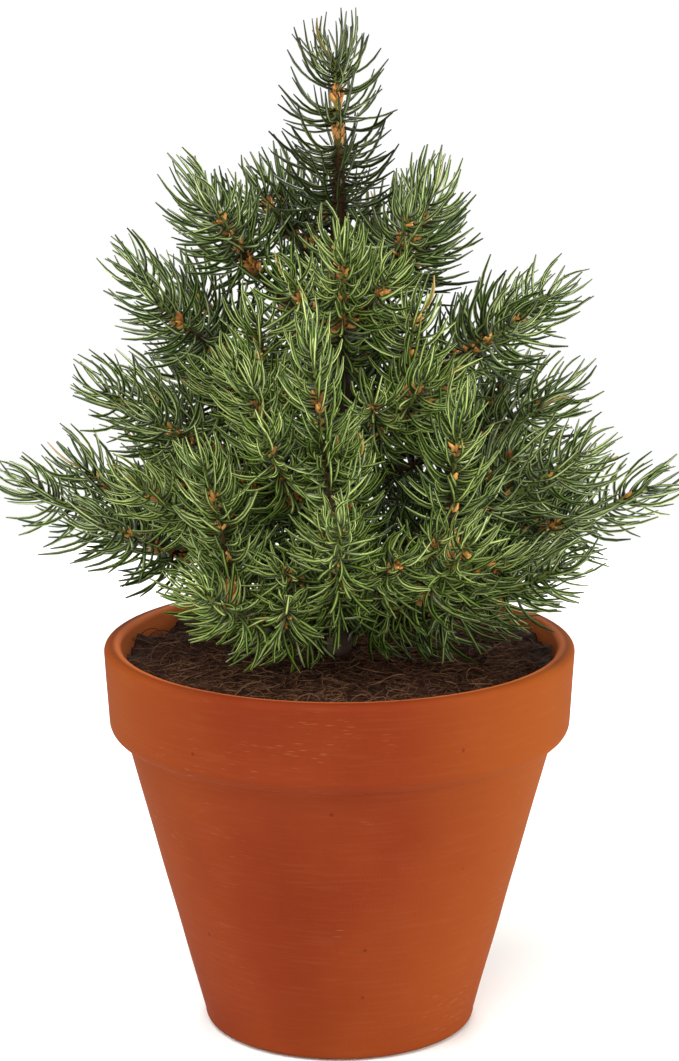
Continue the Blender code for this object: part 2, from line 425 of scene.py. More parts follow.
@dataclass(frozen=True)
class CoirFibre(Finish):
    """Coconut coir, dyed dark and glued: matt, near black between reddish fibres."""

    name: str = "coir_fibre_glued"
    roughness: float = 0.9
    shine: float = 0.15
    dark: str = "22120B"
    brown: str = "4A2D1E"
    straw: str = "6A4A36"

    def make(self) -> Material:
        """Returns the material: colour by fibre where one is set, clouded over the bed."""
        material, tree, shader = self.begin()
        place = add(tree, "ShaderNodeTexCoord").outputs["Object"]
        tone = add(tree, "ShaderNodeAttribute", attribute_name="tone").outputs["Fac"]
        clouds = {"Vector": place, "Scale": 420.0, "Detail": 5.0}
        cloud = add(tree, "ShaderNodeTexNoise", clouds).outputs["Fac"]
        total = add(tree, "ShaderNodeMath", {0: tone, 1: cloud}, operation="ADD")
        lowered = add(tree, "ShaderNodeMath", {0: total.outputs[0], 1: 0.3}, operation="SUBTRACT")
        ramp = add(tree, "ShaderNodeValToRGB", {"Fac": lowered.outputs[0]})
        stops = ramp.color_ramp.elements
        stops[0].color = linear(self.dark)
        stops[1].color = linear(self.straw)
        stops.new(0.6).color = linear(self.brown)
        self.joined(tree, shader, ramp.outputs["Color"], (cloud, 0.9, 0.0015))
        return material


@dataclass(frozen=True)
class Speckled(Finish):
    """A plain finish of two close colours in a fine speckle, with a bump of the same grain."""

    first: str = "808080"
    second: str = "909090"
    grain: float = 300.0
    depth: float = 0.0004

    def make(self) -> Material:
        """Returns the material."""
        material, tree, shader = self.begin()
        place = add(tree, "ShaderNodeTexCoord").outputs["Object"]
        speckle, colour = self.mottled(tree, place, self.grain, 3.0, self.first, self.second)
        self.joined(tree, shader, colour, (speckle, 0.5, self.depth))
        return material


# ---------------------------------------------------------------- geometry trees


def start_tree(name: str, source: str, numbers: dict[str, float], result: str, seeded: bool = True) -> tuple:
    """Starts a geometry tree with its named inputs and its output.

    Args:
        name: The tree's name.
        source: The name of the geometry that it takes.
        numbers: Each number input's name and default.
        result: The name of the geometry that it gives.
        seeded: Whether it takes a seed.

    Returns:
        The tree and its input sockets.
    """
    tree = bpy.data.node_groups.new(name, "GeometryNodeTree")
    sockets = tree.interface
    sockets.new_socket(source, in_out="INPUT", socket_type="NodeSocketGeometry")
    for label, value in numbers.items():
        sockets.new_socket(label, in_out="INPUT", socket_type="NodeSocketFloat").default_value = value
    if seeded:
        sockets.new_socket("Seed", in_out="INPUT", socket_type="NodeSocketInt").default_value = 1
    sockets.new_socket("Finish", in_out="INPUT", socket_type="NodeSocketMaterial")
    sockets.new_socket(result, in_out="OUTPUT", socket_type="NodeSocketGeometry")
    return tree, add(tree, "NodeGroupInput").outputs


def end_tree(tree: NodeTree, geometry: NodeSocket, given) -> NodeTree:
    """Sets the given finish on the geometry, hands it out, and returns the tree."""
    done = add(tree, "GeometryNodeSetMaterial", {"Geometry": geometry, "Material": given["Finish"]})
    add(tree, "NodeGroupOutput", {0: done.outputs[0]})
    return tree


@dataclass
class RadialGrowth:
    """Geometry tree that sets tapered, curved blades round every spline: needles and bud scales."""

    name: str = "blades_round_a_stem"
    sides: int = 4
    rings: int = 7
    curl_power: float = 2.8
    curls: tuple[tuple[float, float], ...] = (
        (0.50, 0.06),
        (0.72, -0.12),
        (0.30, 0.22),
        (0.62, -0.02),
        (0.40, -0.26),
        (0.86, 0.16),
    )

    def build(self) -> NodeTree:
        """Builds the tree.

        Returns:
            The tree, which takes a curve and gives a realised mesh with tone, along and ridge.
        """
        numbers = {"Spacing": 0.0005, "Length": 0.02, "Slenderness": 0.025, "Root angle": 1.2}
        numbers |= {"Tip angle": 0.4, "Scatter": 0.15, "Tip length": 0.7, "Base density": 0.5}
        tree, given = start_tree(self.name, "Stem", numbers, "Blades")
        points, share, turn = self.stations(tree, given)
        angle = self.lean(tree, given, share)
        leaned = add(
            tree,
            "FunctionNodeRotateRotation",
            {
                "Rotation": turn,
                "Rotate By": add(
                    tree, "FunctionNodeAxisAngleToRotation", {"Axis": (0.0, 1.0, 0.0), "Angle": angle}
                ).outputs[0],
            },
            rotation_space="LOCAL",
        )
        size = self.size(tree, given, share)
        pick = add(
            tree,
            "FunctionNodeRandomValue",
            {4: 0, 5: len(self.curls) - 1, "Seed": given["Seed"]},
            data_type="INT",
        )
        filled = add(
            tree, "ShaderNodeMix", {0: share, 2: given["Base density"], 3: 1.0}, data_type="FLOAT"
        )
        stands = add(
            tree,
            "FunctionNodeRandomValue",
            {6: filled.outputs[0], "Seed": given["Seed"]},
            data_type="BOOLEAN",
        )
        placed = add(
            tree,
            "GeometryNodeInstanceOnPoints",
            {
                "Points": points,
                "Selection": stands.outputs[3],
                "Instance": self.blades(tree, given),
                "Pick Instance": True,
                "Instance Index": pick.outputs[2],
                "Rotation": leaned.outputs[0],
                "Scale": size,
            },
        )
        toned = self.tone(tree, given, placed.outputs[0], share)
        real = add(tree, "GeometryNodeRealizeInstances", {0: toned})
        return end_tree(tree, real.outputs[0], given)

    def stations(self, tree: NodeTree, given) -> tuple:
        """Sets the points where blades stand, each turned on from the last by the golden angle.

        Args:
            tree: The geometry tree.
            given: The tree's input sockets.

        Returns:
            The points, the growth at each, which the guide's radius carries, and the rotation.
        """
        spaced = add(
            tree,
            "GeometryNodeResampleCurve",
            {"Curve": given["Stem"], "Length": given["Spacing"]},
            mode="LENGTH",
        )
        capture = add(tree, "GeometryNodeCaptureAttribute", {0: spaced.outputs[0]})
        capture.capture_items.new("FLOAT", "Share")
        tree.links.new(add(tree, "GeometryNodeInputRadius").outputs[0], capture.inputs["Share"])
        dotted = add(tree, "GeometryNodeCurveToPoints", {"Curve": capture.outputs[0]}, mode="EVALUATED")
        step = add(
            tree,
            "ShaderNodeMath",
            {0: add(tree, "GeometryNodeInputIndex").outputs[0], 1: GOLDEN_TURN},
            operation="MULTIPLY",
        )
        jitter = add(
            tree, "FunctionNodeRandomValue", {2: -0.4, 3: 0.4, "Seed": given["Seed"]}, data_type="FLOAT"
        )
        around = add(tree, "ShaderNodeMath", {0: step.outputs[0], 1: jitter.outputs[1]}, operation="ADD")
        turned = add(
            tree,
            "FunctionNodeRotateRotation",
            {
                "Rotation": dotted.outputs["Rotation"],
                "Rotate By": add(
                    tree,
                    "FunctionNodeAxisAngleToRotation",
                    {"Axis": (0.0, 0.0, 1.0), "Angle": around.outputs[0]},
                ).outputs[0],
            },
            rotation_space="LOCAL",
        )
        return dotted.outputs["Points"], capture.outputs["Share"], turned.outputs[0]

    def lean(self, tree: NodeTree, given, share) -> NodeSocket:
        """Returns the angle between blade and stem, which closes towards the tip and scatters."""
        eased = add(tree, "ShaderNodeMath", {0: share, 1: 4.0}, operation="POWER")
        mean = add(
            tree,
            "ShaderNodeMix",
            {0: eased.outputs[0], 2: given["Root angle"], 3: given["Tip angle"]},
            data_type="FLOAT",
        )
        low = add(tree, "ShaderNodeMath", {0: given["Scatter"], 1: -1.0}, operation="MULTIPLY")
        spread = self.drawn(tree, given, 11.0, low.outputs[0], given["Scatter"])
        return add(tree, "ShaderNodeMath", {0: mean.outputs[0], 1: spread}, operation="ADD").outputs[0]

    @staticmethod
    def drawn(tree: NodeTree, given, step: float, low, high) -> NodeSocket:
        """Returns a number drawn for each blade between low and high; the step sets its draws apart."""
        seed = add(tree, "ShaderNodeMath", {0: given["Seed"], 1: step}, operation="ADD").outputs[0]
        value = add(tree, "FunctionNodeRandomValue", {2: low, 3: high, "Seed": seed}, data_type="FLOAT")
        return value.outputs[1]

    def size(self, tree: NodeTree, given, share) -> NodeSocket:
        """Returns each blade's length: 0.78 to 1.12 of the usual at random, and shorter at the tip."""
        eased = add(tree, "ShaderNodeMath", {0: share, 1: 4.0}, operation="POWER")
        shrink = add(
            tree,
            "ShaderNodeMix",
            {0: eased.outputs[0], 2: 1.0, 3: given["Tip length"]},
            data_type="FLOAT",
        )
        vary = self.drawn(tree, given, 23.0, 0.78, 1.12)
        both = add(tree, "ShaderNodeMath", {0: shrink.outputs[0], 1: vary}, operation="MULTIPLY").outputs[0]
        return add(tree, "ShaderNodeMath", {0: both, 1: given["Length"]}, operation="MULTIPLY").outputs[0]

    def blades(self, tree: NodeTree, given) -> NodeSocket:
        """Returns a few blades of unit length as instances, each with its own curl."""
        joined = add(tree, "GeometryNodeJoinGeometry")
        for bend, sway in self.curls:
            line = add(
                tree, "GeometryNodeCurvePrimitiveLine", {"Start": (0.0, 0.0, 0.0), "End": (0.0, 0.0, 1.0)}
            )
            spans = add(tree, "GeometryNodeResampleCurve", {"Curve": line.outputs[0], "Count": self.rings})
            along = add(tree, "GeometryNodeSplineParameter").outputs["Factor"]
            kept = add(
                tree,
                "GeometryNodeStoreNamedAttribute",
                {"Geometry": spans.outputs[0], "Name": "along", "Value": along},
                data_type="FLOAT",
                domain="POINT",
            )
            curled = add(tree, "ShaderNodeMath", {0: along, 1: self.curl_power}, operation="POWER")
            shift = add(
                tree,
                "ShaderNodeVectorMath",
                {0: (-bend, sway, 0.0), "Scale": curled.outputs[0]},
                operation="SCALE",
            )
            bent = add(
                tree, "GeometryNodeSetPosition", {"Geometry": kept.outputs[0], "Offset": shift.outputs[0]}
            )
            taper = add(tree, "ShaderNodeFloatCurve", {"Value": along})
            curve = taper.mapping.curves[0]
            curve.points[0].location = (0.0, 0.8)
            curve.points[1].location = (1.0, 0.44)
            curve.points.new(0.25, 1.0)
            curve.points.new(0.82, 0.9)
            taper.mapping.update()
            thick = add(
                tree,
                "ShaderNodeMath",
                {0: taper.outputs[0], 1: given["Slenderness"]},
                operation="MULTIPLY",
            )
            skin = add(
                tree,
                "GeometryNodeCurveToMesh",
                {
                    "Curve": bent.outputs[0],
                    "Profile Curve": self.section(tree),
                    "Scale": thick.outputs[0],
                    "Fill Caps": True,
                },
            )
            alone = add(tree, "GeometryNodeGeometryToInstance", {0: skin.outputs[0]})
            tree.links.new(alone.outputs[0], joined.inputs[0])
        return joined.outputs[0]

    def section(self, tree: NodeTree) -> NodeSocket:
        """Returns a blade's cross-section, with every second corner marked for a painted highlight."""
        circle = add(tree, "GeometryNodeCurvePrimitiveCircle", {"Resolution": self.sides, "Radius": 1.0})
        corner = add(
            tree,
            "ShaderNodeMath",
            {0: add(tree, "GeometryNodeInputIndex").outputs[0], 1: 2.0},
            operation="MODULO",
        )
        return add(
            tree,
            "GeometryNodeStoreNamedAttribute",
            {"Geometry": circle.outputs[0], "Name": "ridge", "Value": corner.outputs[0]},
            data_type="FLOAT",
            domain="POINT",
        ).outputs[0]

    def tone(self, tree: NodeTree, given, blades, share) -> NodeSocket:
        """Returns the blades with a tone stored on each: random, and deeper towards the stem's root, partly as on
        older wood and partly as painted shade inside the tree.
        """
        chance = self.drawn(tree, given, 37.0, 0.0, 1.0)
        # deeper near the trunk: older wood, and painted shade inside the tree
        age_and_inner_shade = add(tree, "ShaderNodeMix", {0: share, 2: 0.35, 3: 1.0}, data_type="FLOAT")
        tone = add(tree, "ShaderNodeMath", {0: chance, 1: age_and_inner_shade.outputs[0]}, operation="MULTIPLY")
        return add(
            tree,
            "GeometryNodeStoreNamedAttribute",
            {"Geometry": blades, "Name": "tone", "Value": tone.outputs[0]},
            data_type="FLOAT",
            domain="INSTANCE",
        ).outputs[0]


@dataclass
class StemSkin:
    """Geometry tree that wraps every spline in a ridged skin as thick as the spline's radius."""

    name: str = "skin_over_a_stem"
    sides: int = 8

    def build(self) -> NodeTree:
        """Returns the tree, which takes a curve and gives a mesh with the share along it stored."""
        numbers = {"Step": 0.0015, "Ridge": 0.0003, "Ridge scale": 500.0}
        tree, given = start_tree(self.name, "Stem", numbers, "Skin", seeded=False)
        spaced = add(
            tree,
            "GeometryNodeResampleCurve",
            {"Curve": given["Stem"], "Length": given["Step"]},
            mode="LENGTH",
        )
        spaced = add(
            tree,
            "GeometryNodeStoreNamedAttribute",
            {
                "Geometry": spaced.outputs[0],
                "Name": "share",
                "Value": add(tree, "GeometryNodeSplineParameter").outputs["Factor"],
            },
            data_type="FLOAT",
            domain="POINT",
        )
        section = add(tree, "GeometryNodeCurvePrimitiveCircle", {"Resolution": self.sides, "Radius": 1.0})
        skin = add(
            tree,
            "GeometryNodeCurveToMesh",
            {
                "Curve": spaced.outputs[0],
                "Profile Curve": section.outputs[0],
                "Scale": add(tree, "GeometryNodeInputRadius").outputs[0],
                "Fill Caps": True,
            },
        )
        bark = add(tree, "ShaderNodeTexNoise", {"Scale": given["Ridge scale"], "Detail": 2.0})
        centred = add(tree, "ShaderNodeMath", {0: bark.outputs["Fac"], 1: 0.5}, operation="SUBTRACT")
        height = add(
            tree, "ShaderNodeMath", {0: centred.outputs[0], 1: given["Ridge"]}, operation="MULTIPLY"
        )
        outward = add(
            tree,
            "ShaderNodeVectorMath",
            {0: add(tree, "GeometryNodeInputNormal").outputs[0], "Scale": height.outputs[0]},
            operation="SCALE",
        )
        rough = add(
            tree, "GeometryNodeSetPosition", {"Geometry": skin.outputs[0], "Offset": outward.outputs[0]}
        )
        return end_tree(tree, rough.outputs[0], given)


@dataclass
class FibreMat:
    """Geometry tree that strews curly fibres flat over a surface."""

    name: str = "fibres_over_a_bed"

    def build(self) -> NodeTree:
        """Returns the tree, which takes a mesh and gives the fibres on it, realised."""
        numbers = {"Density": 150000.0, "Length": 0.012, "Thickness": 0.012}
        tree, given = start_tree(self.name, "Bed", numbers, "Fibres")
        strewn = add(
            tree,
            "GeometryNodeDistributePointsOnFaces",
            {"Mesh": given["Bed"], "Density": given["Density"], "Seed": given["Seed"]},
        )
        spin = add(
            tree,
            "FunctionNodeRandomValue",
            {0: (-0.22, -0.22, -3.14), 1: (0.22, 0.22, 3.14), "Seed": given["Seed"]},
            data_type="FLOAT_VECTOR",
        )
        turned = add(
            tree,
            "FunctionNodeRotateRotation",
            {
                "Rotation": strewn.outputs["Rotation"],
                "Rotate By": add(
                    tree, "FunctionNodeEulerToRotation", {"Euler": spin.outputs[0]}
                ).outputs[0],
            },
            rotation_space="LOCAL",
        )
        vary = add(tree, "FunctionNodeRandomValue", {2: 0.45, 3: 1.25, "Seed": 5}, data_type="FLOAT")
        long = add(tree, "ShaderNodeMath", {0: vary.outputs[1], 1: given["Length"]}, operation="MULTIPLY")
        pick = add(tree, "FunctionNodeRandomValue", {4: 0, 5: 3, "Seed": 9}, data_type="INT")
        placed = add(
            tree,
            "GeometryNodeInstanceOnPoints",
            {
                "Points": strewn.outputs["Points"],
                "Instance": self.fibres(tree, given),
                "Pick Instance": True,
                "Instance Index": pick.outputs[2],
                "Rotation": turned.outputs[0],
                "Scale": long.outputs[0],
            },
        )
        tone = add(tree, "FunctionNodeRandomValue", {2: 0.0, 3: 1.0, "Seed": 3}, data_type="FLOAT")
        toned = add(
            tree,
            "GeometryNodeStoreNamedAttribute",
            {"Geometry": placed.outputs[0], "Name": "tone", "Value": tone.outputs[1]},
            data_type="FLOAT",
            domain="INSTANCE",
        )
        real = add(tree, "GeometryNodeRealizeInstances", {0: toned.outputs[0]})
        return end_tree(tree, real.outputs[0], given)

    def fibres(self, tree: NodeTree, given) -> NodeSocket:
        """Returns four unit-long fibres as instances: nearly straight, bowed, hooked and looped."""
        joined = add(tree, "GeometryNodeJoinGeometry")
        for bow, hook, lift in ((0.1, 0.0, 0.03), (0.45, 0.1, 0.05), (0.3, -0.45, 0.08), (0.8, 0.5, 0.1)):
            arc = add(
                tree,
                "GeometryNodeCurvePrimitiveBezierSegment",
                {
                    "Resolution": 5,
                    "Start": (-0.5, 0.0, 0.0),
                    "Start Handle": (-0.2, bow, lift),
                    "End Handle": (0.25, bow * 0.6 + hook, lift),
                    "End": (0.5, hook, 0.0),
                },
            )
            section = add(tree, "GeometryNodeCurvePrimitiveCircle", {"Resolution": 3, "Radius": 1.0})
            skin = add(
                tree,
                "GeometryNodeCurveToMesh",
                {
                    "Curve": arc.outputs[0],
                    "Profile Curve": section.outputs[0],
                    "Scale": given["Thickness"],
                    "Fill Caps": True,
                },
            )
            alone = add(tree, "GeometryNodeGeometryToInstance", {0: skin.outputs[0]})
            tree.links.new(alone.outputs[0], joined.inputs[0])
        return joined.outputs[0]


# ---------------------------------------------------------------- pot and topping


@dataclass
class ClayPot:
    """The clay pot: a straight cone, a thicker band round the rim, a rounded lip and a drain hole."""

    height: float = 149.0
    rim_radius: float = 89.0
    band_height: float = 34.5
    band_foot_radius: float = 87.4
    base_radius: float = 51.3
    slope: float = 0.255
    bore_at_zero: float = 44.4
    floor: float = 8.0
    drain_radius: float = 9.0
    segments: int = 144
    body: str = "potted_trunk"

    def profile(self) -> list[tuple[float, float]]:
        """Returns the closed outline in millimetres, down the outer side and back up the bore."""
        foot = self.height - self.band_height
        wall = self.base_radius + self.slope * foot
        bore = self.bore_at_zero + self.slope * self.height
        floor_bore = self.bore_at_zero + self.slope * self.floor
        points: list[tuple[float, float]] = []
        points += self.arc(self.rim_radius - 2.6, self.height - 2.6, 2.6, 90, 0)
        points += self.arc(self.band_foot_radius - 5.4, foot + 5.4, 5.4, 0, -78)
        points += self.arc(wall + 2.6, foot - 2.4, 2.4, 102, 166)
        points += self.arc(self.base_radius - 2.4, 3.0, 3.0, 8, -90)
        points += [(self.drain_radius + 1.0, 0.0), (self.drain_radius, 1.0)]
        points += [(self.drain_radius, self.floor - 1.0), (self.drain_radius + 1.0, self.floor)]
        points += self.arc(floor_bore - 4.0, self.floor + 4.0, 4.0, -90, -10)
        points += self.arc(bore + 2.2, self.height - 2.2, 2.2, 180, 90)
        return self.divided(points)

    @staticmethod
    def arc(x: float, z: float, radius: float, start: float, end: float) -> list[tuple[float, float]]:
        """Returns seven points of a round corner, between two angles in degrees."""
        angles = [math.radians(start + (end - start) * i / 6) for i in range(7)]
        return [(x + radius * math.cos(a), z + radius * math.sin(a)) for a in angles]

    @staticmethod
    def divided(points: list[tuple[float, float]], span: float = 5.0) -> list[tuple[float, float]]:
        """Returns the outline with its long straights divided, so that shading stays even."""
        result: list[tuple[float, float]] = []
        for (r0, z0), (r1, z1) in zip(points, points[1:] + points[:1]):
            steps = max(1, round(math.hypot(r1 - r0, z1 - z0) / span))
            result += [(r0 + (r1 - r0) * i / steps, z0 + (z1 - z0) * i / steps) for i in range(steps)]
        return result

    def build(self, finish: Material) -> Object:
        """Turns the outline into the pot, with the slight unevenness of clay.

        Args:
            finish: The terracotta.

        Returns:
            The pot, riding on the root body in place of its CAD node.
        """
        outline = self.profile()
        rings = []
        for i in range(self.segments):
            turn = math.tau * i / self.segments
            across = Vector((math.cos(turn), math.sin(turn), 0.0))
            ring = []
            for radius, height in outline:
                point = across * (radius * MM) + Vector((0, 0, height * MM))
                uneven = noise.noise(Vector((point.x * 14, point.y * 14, point.z * 40))) * 0.18 * MM
                ring.append(point + across * uneven)
            rings.append(ring)
        pot = lofted("clay_pot_turned", rings, finish, closed=True)
        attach(pot, self.body)
        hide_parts("clay_pot")
        return pot


@dataclass
class CoirTopping:
    """The topping: an uneven bed of glued coir with loose curly fibres over it."""

    crown: float = 145.2
    edge: float = 142.4
    foot: float = 129.0
    edge_radius: float = 80.4
    foot_radius: float = 77.0
    hole_radius: float = 5.9
    steps: int = 52
    turns: int = 168
    body: str = "potted_trunk"
    fibre_density: float = 210000.0

    def surface(self, radius: float, turn: float) -> float:
        """Returns the bed's height in millimetres at a radius in millimetres and an angle."""
        share = min(1.0, radius / self.edge_radius)
        height = self.crown + (self.edge - self.crown) * share**2
        x, y = radius * math.cos(turn), radius * math.sin(turn)
        height += noise.noise(Vector((x / 15, y / 15, 3.1))) * 1.4
        height += noise.noise(Vector((x / 5, y / 5, 7.7))) * 1.1
        height += noise.noise(Vector((x / 2.2, y / 2.2, 1.9))) * 0.7
        ragged = noise.noise(Vector((math.cos(turn) * 5, math.sin(turn) * 5, 0.5))) * 4.5
        ragged += noise.noise(Vector((math.cos(turn) * 21, math.sin(turn) * 21, 4.5))) * 1.8
        return height + max(0.0, share - 0.9) * 17.0 * (ragged - 0.4)

    def build(self, finish: Material, mat: NodeTree) -> list[Object]:
        """Builds the bed and strews its fibres.

        Args:
            finish: The coir.
            mat: The geometry tree that strews fibres.

        Returns:
            The bed and the fibres.
        """
        width = self.edge_radius - self.hole_radius
        turns = [math.tau * i / self.turns for i in range(self.turns)]
        rings = []
        for i in range(self.steps + 1):
            radius = self.hole_radius + width * i / self.steps
            rings.append([self.point(radius, turn, self.surface(radius, turn)) for turn in turns])
        for radius in (self.foot_radius, self.hole_radius):
            rings.append([self.point(radius, turn, self.foot) for turn in turns])
        bed = lofted("coir_bed", rings, finish, closed=True)
        fibres = self.strew(bed, finish, mat)
        for piece in (bed, fibres):
            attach(piece, self.body)
        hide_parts("coir_topping")
        return [bed, fibres]

    @staticmethod
    def point(radius: float, turn: float, height: float) -> Vector:
        """Returns a point in metres from a radius, an angle and a height in millimetres."""
        return Vector((radius * math.cos(turn), radius * math.sin(turn), height)) * MM

    def strew(self, bed: Object, finish: Material, mat: NodeTree) -> Object:
        """Returns the loose fibres that lie on the top of the bed, kept inside the pot."""
        top = bed.data.copy()
        shape = bmesh.new()
        shape.from_mesh(top)
        limit = (self.edge_radius - 5.0) * MM
        inner = [f for f in shape.faces if f.normal.z < 0.3 or f.calc_center_median().xy.length > limit]
        bmesh.ops.delete(shape, geom=inner, context="FACES")
        shape.to_mesh(top)
        shape.free()
        source = new_object("coir_fibre_source", top)
        values = {"Density": self.fibre_density, "Length": 0.0105, "Thickness": 0.017, "Seed": 4}
        grow(source, mat, {**values, "Finish": finish})
        return settle(source, "coir_fibres")


# ---------------------------------------------------------------- trunk and shoots


@dataclass
class WrappedTrunk:
    """The trunk's sleeve of wound tape, with a raised edge at each turn of the winding."""

    foot: float = 48.0
    top: float = 301.6
    foot_radius: float = 5.4
    top_radius: float = 3.9
    winding: float = 7.0
    sides: int = 28
    rows: int = 260
    body: str = "potted_trunk"

    def build(self, finish: Material) -> Object:
        """Builds the sleeve as rings joined by faces.

        Args:
            finish: The tape.

        Returns:
            The sleeve, riding on the root body in place of its CAD node.
        """
        rings = []
        for row in range(self.rows + 1):
            share = row / self.rows
            height = self.foot + (self.top - self.foot) * share
            mean = self.foot_radius + (self.top_radius - self.foot_radius) * share
            ring = []
            for i in range(self.sides):
                turn = math.tau * i / self.sides
                phase = (height / self.winding + i / self.sides) % 1.0
                ridge = 0.28 * (1 - phase) ** 3
                lump = noise.noise(Vector((math.cos(turn) * 1.2, math.sin(turn) * 1.2, height / 6))) * 0.5
                radius = (mean + ridge + lump - 0.15) * MM
                ring.append((radius * math.cos(turn), radius * math.sin(turn), height * MM))
            rings.append(ring)
        sleeve = lofted("wound_sleeve", rings, finish, closed=False)
        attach(sleeve, self.body)
        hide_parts("tape_sleeve")
        return sleeve


@dataclass(frozen=True)
class SidePlan:
    """One side shoot: where it leaves the main stem, which way, and how long it is."""

    start: float
    side: int
    angle: float
    length: float
    lift: float = 12.0


class Tier(Enum):
    """How full a branch is, by its place on the trunk. Each value lists the branch's side shoots."""

    TOP = ()
    UPPER = (SidePlan(0.40, 1, 46, 0.40), SidePlan(0.46, -1, 44, 0.36))
    MIDDLE = (SidePlan(0.36, 1, 48, 0.40), SidePlan(0.42, -1, 48, 0.40))
    LOWER = (SidePlan(0.30, 1, 50, 0.36), SidePlan(0.36, -1, 50, 0.36), SidePlan(0.42, 1, 30, 0.32, 70))

    @staticmethod
    def extra(name: str) -> tuple[SidePlan, ...]:
        """Returns the further side shoots of a branch: the upright ones at the front and low down."""
        upright = {
            "upper_front": (SidePlan(0.56, 1, 78, 0.30, 84),),
            "mid_front_left": (SidePlan(0.62, 1, 62, 0.40, 70),),
            "mid_front_right": (SidePlan(0.62, -1, 66, 0.50, 74),),
            "mid_front_low": (SidePlan(0.60, 1, 56, 0.36, 58),),
            "low_front": (SidePlan(0.72, 1, 84, 0.66, 86), SidePlan(0.44, -1, 66, 0.44, 80)),
            "low_front_right": (SidePlan(0.68, -1, 80, 0.60, 76),),
            "low_front_left": (SidePlan(0.64, 1, 76, 0.56, 72),),
        }
        return upright.get(name, ())

    @staticmethod
    def of(name: str) -> "Tier":
        """Returns the tier of a branch from the first word of its name."""
        return {"upper": Tier.UPPER, "mid": Tier.MIDDLE, "low": Tier.LOWER}.get(name.split("_")[0], Tier.TOP)


@dataclass
class StemPath:
    """A stem's centre line, a curve through the CAD's root, wire end and tip."""

    root: Vector
    control: Vector
    tip: Vector

    @classmethod
    def from_cad(cls, name: str, root: Vector, wire_end: float = 0.60) -> "StemPath":
        """Reads the path off a branch's CAD nodes.

        Args:
            name: The branch's name, as in its nodes' names.
            root: The joint's place.
            wire_end: The share of the path at which the wire ends.

        Returns:
            The path.
        """
        tip = cls.far_end(name + "_spray", root)
        end = cls.far_end(name + "_wire", root)
        before = (1 - wire_end) ** 2
        control = (end - root * before - tip * wire_end**2) / (2 * wire_end * (1 - wire_end))
        return cls(root, control, tip)

    @staticmethod
    def far_end(node: str, root: Vector) -> Vector:
        """Returns the middle of the end ring of a CAD node that is farthest from the root."""
        points = {tuple(round(c, 6) for c in v.co) for v in frame["nodes"][node].data.vertices}
        reach = max((Vector(p) - root).length for p in points)
        ring = [Vector(p) for p in points if (Vector(p) - root).length > reach - 0.9 * MM]
        return sum(ring, Vector()) / len(ring)

    def at(self, share: float) -> Vector:
        """Returns the point at a share of the path."""
        start = self.root * (1 - share) ** 2
        return start + self.control * (2 * share * (1 - share)) + self.tip * share**2

    def heading(self, share: float) -> Vector:
        """Returns the unit direction of the path at a share of it."""
        ahead = (self.control - self.root) * (1 - share) + (self.tip - self.control) * share
        return ahead.normalized()

    def length(self) -> float:
        """Returns the path's length in metres."""
        stops = [self.at(i / 24) for i in range(25)]
        return sum((b - a).length for a, b in zip(stops, stops[1:]))


@dataclass
class Workshop:
    """The trees and finishes that every shoot uses."""

    blades: NodeTree
    scales: NodeTree
    skin: NodeTree
    stem: Material
    scale: Material
    needles: dict[str, Material]


